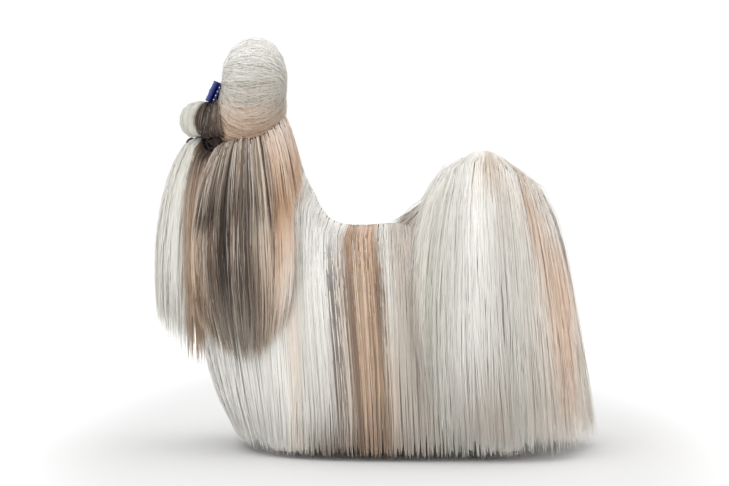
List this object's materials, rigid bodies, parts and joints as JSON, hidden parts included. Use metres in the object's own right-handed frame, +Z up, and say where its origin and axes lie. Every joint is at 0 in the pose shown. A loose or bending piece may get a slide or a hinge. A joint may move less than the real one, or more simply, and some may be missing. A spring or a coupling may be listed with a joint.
{
  "type": "dog model",
  "caption": "Life-size still model of a small long-coated dog standing in profile, its coat combed to the floor and its topknot tied with a bow.",
  "frame": {"origin": "on the floor, under the middle of the model's bounding box", "axes": "+Z up, -X the way the dog faces, +Y to the dog's right side"},
  "size_m": [0.5051, 0.2831, 0.4676],
  "materials": {
    "band": "dark blue elastic hair band",
    "coat_cream": "short cream hair",
    "coat_dark": "long straight hair, near black to tan",
    "coat_gold": "long straight hair, golden brown patch on cream",
    "coat_white": "long straight white hair",
    "eye": "glossy, very dark brown",
    "nose": "moist black leather, finely pebbled",
    "ribbon": "blue ribbon with a looped edge"
  },
  "bodies": {
    "root": {"bow_knot": "ribbon", "bow_left": "ribbon", "bow_right": "ribbon", "chest": "coat_white", "ear_left": "coat_dark", "ear_right": "coat_dark", "eye_left": "eye", "eye_right": "eye", "forelock": "coat_white", "hair_band": "band", "head": "coat_white", "jaw": "coat_white", "leg_front_left": "coat_cream", "leg_front_right": "coat_cream", "leg_hind_left": "coat_cream", "leg_hind_right": "coat_cream", "moustache": "coat_white", "muzzle": "coat_white", "neck_left": "coat_white", "neck_right": "coat_white", "nose": "nose", "paw_front_left": "coat_cream", "paw_front_right": "coat_cream", "paw_hind_left": "coat_cream", "paw_hind_right": "coat_cream", "plume_left": "coat_white", "plume_right": "coat_white", "rump_left": "coat_white", "rump_right": "coat_white", "tail": "coat_white", "topknot": "coat_white", "torso_left": "coat_gold", "torso_right": "coat_gold"}
  },
  "joints": []
}
